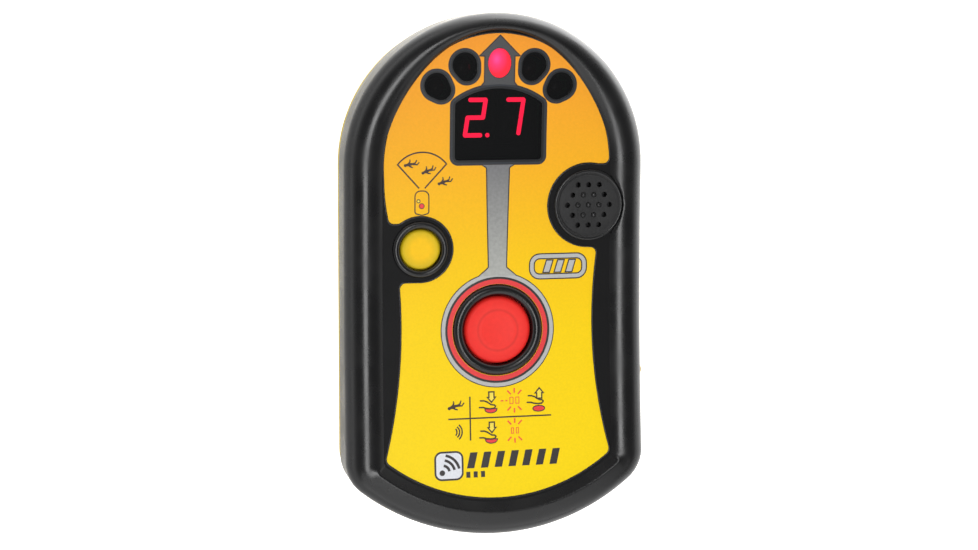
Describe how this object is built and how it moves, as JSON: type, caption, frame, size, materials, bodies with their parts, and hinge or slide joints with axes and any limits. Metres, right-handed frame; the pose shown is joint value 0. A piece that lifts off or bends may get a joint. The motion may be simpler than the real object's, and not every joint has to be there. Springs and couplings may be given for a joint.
{
  "type": "avalanche transceiver",
  "caption": "Hand-held avalanche rescue beacon: clamshell body with a search display, direction lights, two push buttons, a power knob and a hinged battery door.",
  "frame": {"origin": "middle of the body in plan, on the flat of the back that it lies on", "axes": "+Z out of the face, +Y towards the display end, +X to the right seen from the front"},
  "size_m": [0.0862, 0.1386, 0.0278],
  "materials": {
    "shell_yellow": "fine satin moulded ABS",
    "cell_jacket": "printed plastic jacket, glossy",
    "tray_black": "matt",
    "chip_black": "epoxy, matt",
    "coil_wire": "enamelled copper winding",
    "ferrite": "sintered, dark grey",
    "dark_segment": "unlit light bar",
    "lit_segment": "glowing red light bar",
    "module_black": "matt black moulding",
    "smoked_pane": "dark smoked acrylic, glossy",
    "screw_steel": "stainless, turned",
    "seal_silicone": "soft, matt",
    "label_film": "printed polycarbonate film, semi-gloss",
    "shell_black": "satin, semi-gloss moulded ABS",
    "lit_lamp": "glowing red diffused lens",
    "dark_lamp": "unlit red diffused lens",
    "lit_pane": "clear acrylic lit red from below",
    "board_green": "solder mask, semi-gloss",
    "bezel_black": "semi-gloss",
    "button_yellow": "satin silicone over a hard cap",
    "dome_silicone": "translucent, matt",
    "plunger_white": "matt",
    "switch_black": "matt",
    "contact_nickel": "nickel plated spring strip",
    "knob_red": "fine satin",
    "insert_brass": "knurled, bright",
    "button_red": "matt silicone over a hard cap",
    "can_tin": "tinned, dull bright"
  },
  "bodies": {
    "body": {"back_shell": "shell_yellow", "battery_cell_1": "cell_jacket", "battery_cell_2": "cell_jacket", "battery_cell_3": "cell_jacket", "battery_tray": "tray_black", "controller_chip": "chip_black", "cross_antenna_coil": "coil_wire", "cross_antenna_rod": "ferrite", "digit_dark": "dark_segment", "digit_lit": "lit_segment", "digit_module_left": "module_black", "digit_module_right": "module_black", "display_frame": "module_black", "display_window": "smoked_pane", "face_label": "label_film", "front_shell": "shell_black", "hinge_pin": "screw_steel", "knob_seal": "seal_silicone", "light_centre": "lit_lamp", "light_far_left": "dark_lamp", "light_far_right": "dark_lamp", "light_near_left": "dark_lamp", "light_near_right": "dark_lamp", "light_window_centre": "lit_pane", "light_window_far_left": "smoked_pane", "light_window_far_right": "smoked_pane", "light_window_near_left": "smoked_pane", "light_window_near_right": "smoked_pane", "long_antenna_coil": "coil_wire", "long_antenna_rod": "ferrite", "main_board": "board_green", "options_bezel": "bezel_black", "options_dome": "dome_silicone", "options_switch": "switch_black", "plate_contact_1": "contact_nickel", "plate_contact_2": "contact_nickel", "plate_contact_3": "contact_nickel", "rotary_switch": "switch_black", "screw_insert": "insert_brass", "search_bezel": "bezel_black", "search_dome": "dome_silicone", "search_switch": "switch_black", "shell_screws": "screw_steel", "shell_seal": "seal_silicone", "shield_can": "can_tin", "sounder": "switch_black", "sounder_gasket": "seal_silicone", "speaker_grille": "bezel_black", "spring_contact_1": "contact_nickel", "spring_contact_2": "contact_nickel", "spring_contact_3": "contact_nickel"},
    "search_button": {"search_button": "button_red", "search_plunger": "plunger_white"},
    "options_button": {"options_button": "button_yellow", "options_plunger": "plunger_white"},
    "power_knob": {"power_knob": "knob_red"},
    "battery_door": {"battery_door": "shell_yellow", "door_seal": "seal_silicone"},
    "door_screw": {"door_screw": "screw_steel"}
  },
  "joints": [
    {"name": "search_press", "type": "slide", "parent": "body", "child": "search_button", "axis": [0, 0, -1], "range_m": [0, 0.0006], "stiffness_N_per_m": 2500, "springref_m": -0.0004, "deforming": ["search_dome"]},
    {"name": "options_press", "type": "slide", "parent": "body", "child": "options_button", "axis": [0, 0, -1], "range_m": [0, 0.0006], "stiffness_N_per_m": 2500, "springref_m": -0.0004, "deforming": ["options_dome"]},
    {"name": "power_turn", "type": "hinge", "parent": "body", "child": "power_knob", "pos_m": [0, 0.035, 0.005], "axis": [0, 0, 1], "range_deg": [0, 90]},
    {"name": "door_swing", "type": "hinge", "parent": "body", "child": "battery_door", "pos_m": [0, -0.0034, 0.0018], "axis": [1, 0, 0], "range_deg": [0, 90]},
    {"name": "door_screw_turn", "type": "hinge", "parent": "battery_door", "child": "door_screw", "pos_m": [0, -0.0587, 0.001], "axis": [0, 0, 1], "continuous": true}
  ]
}
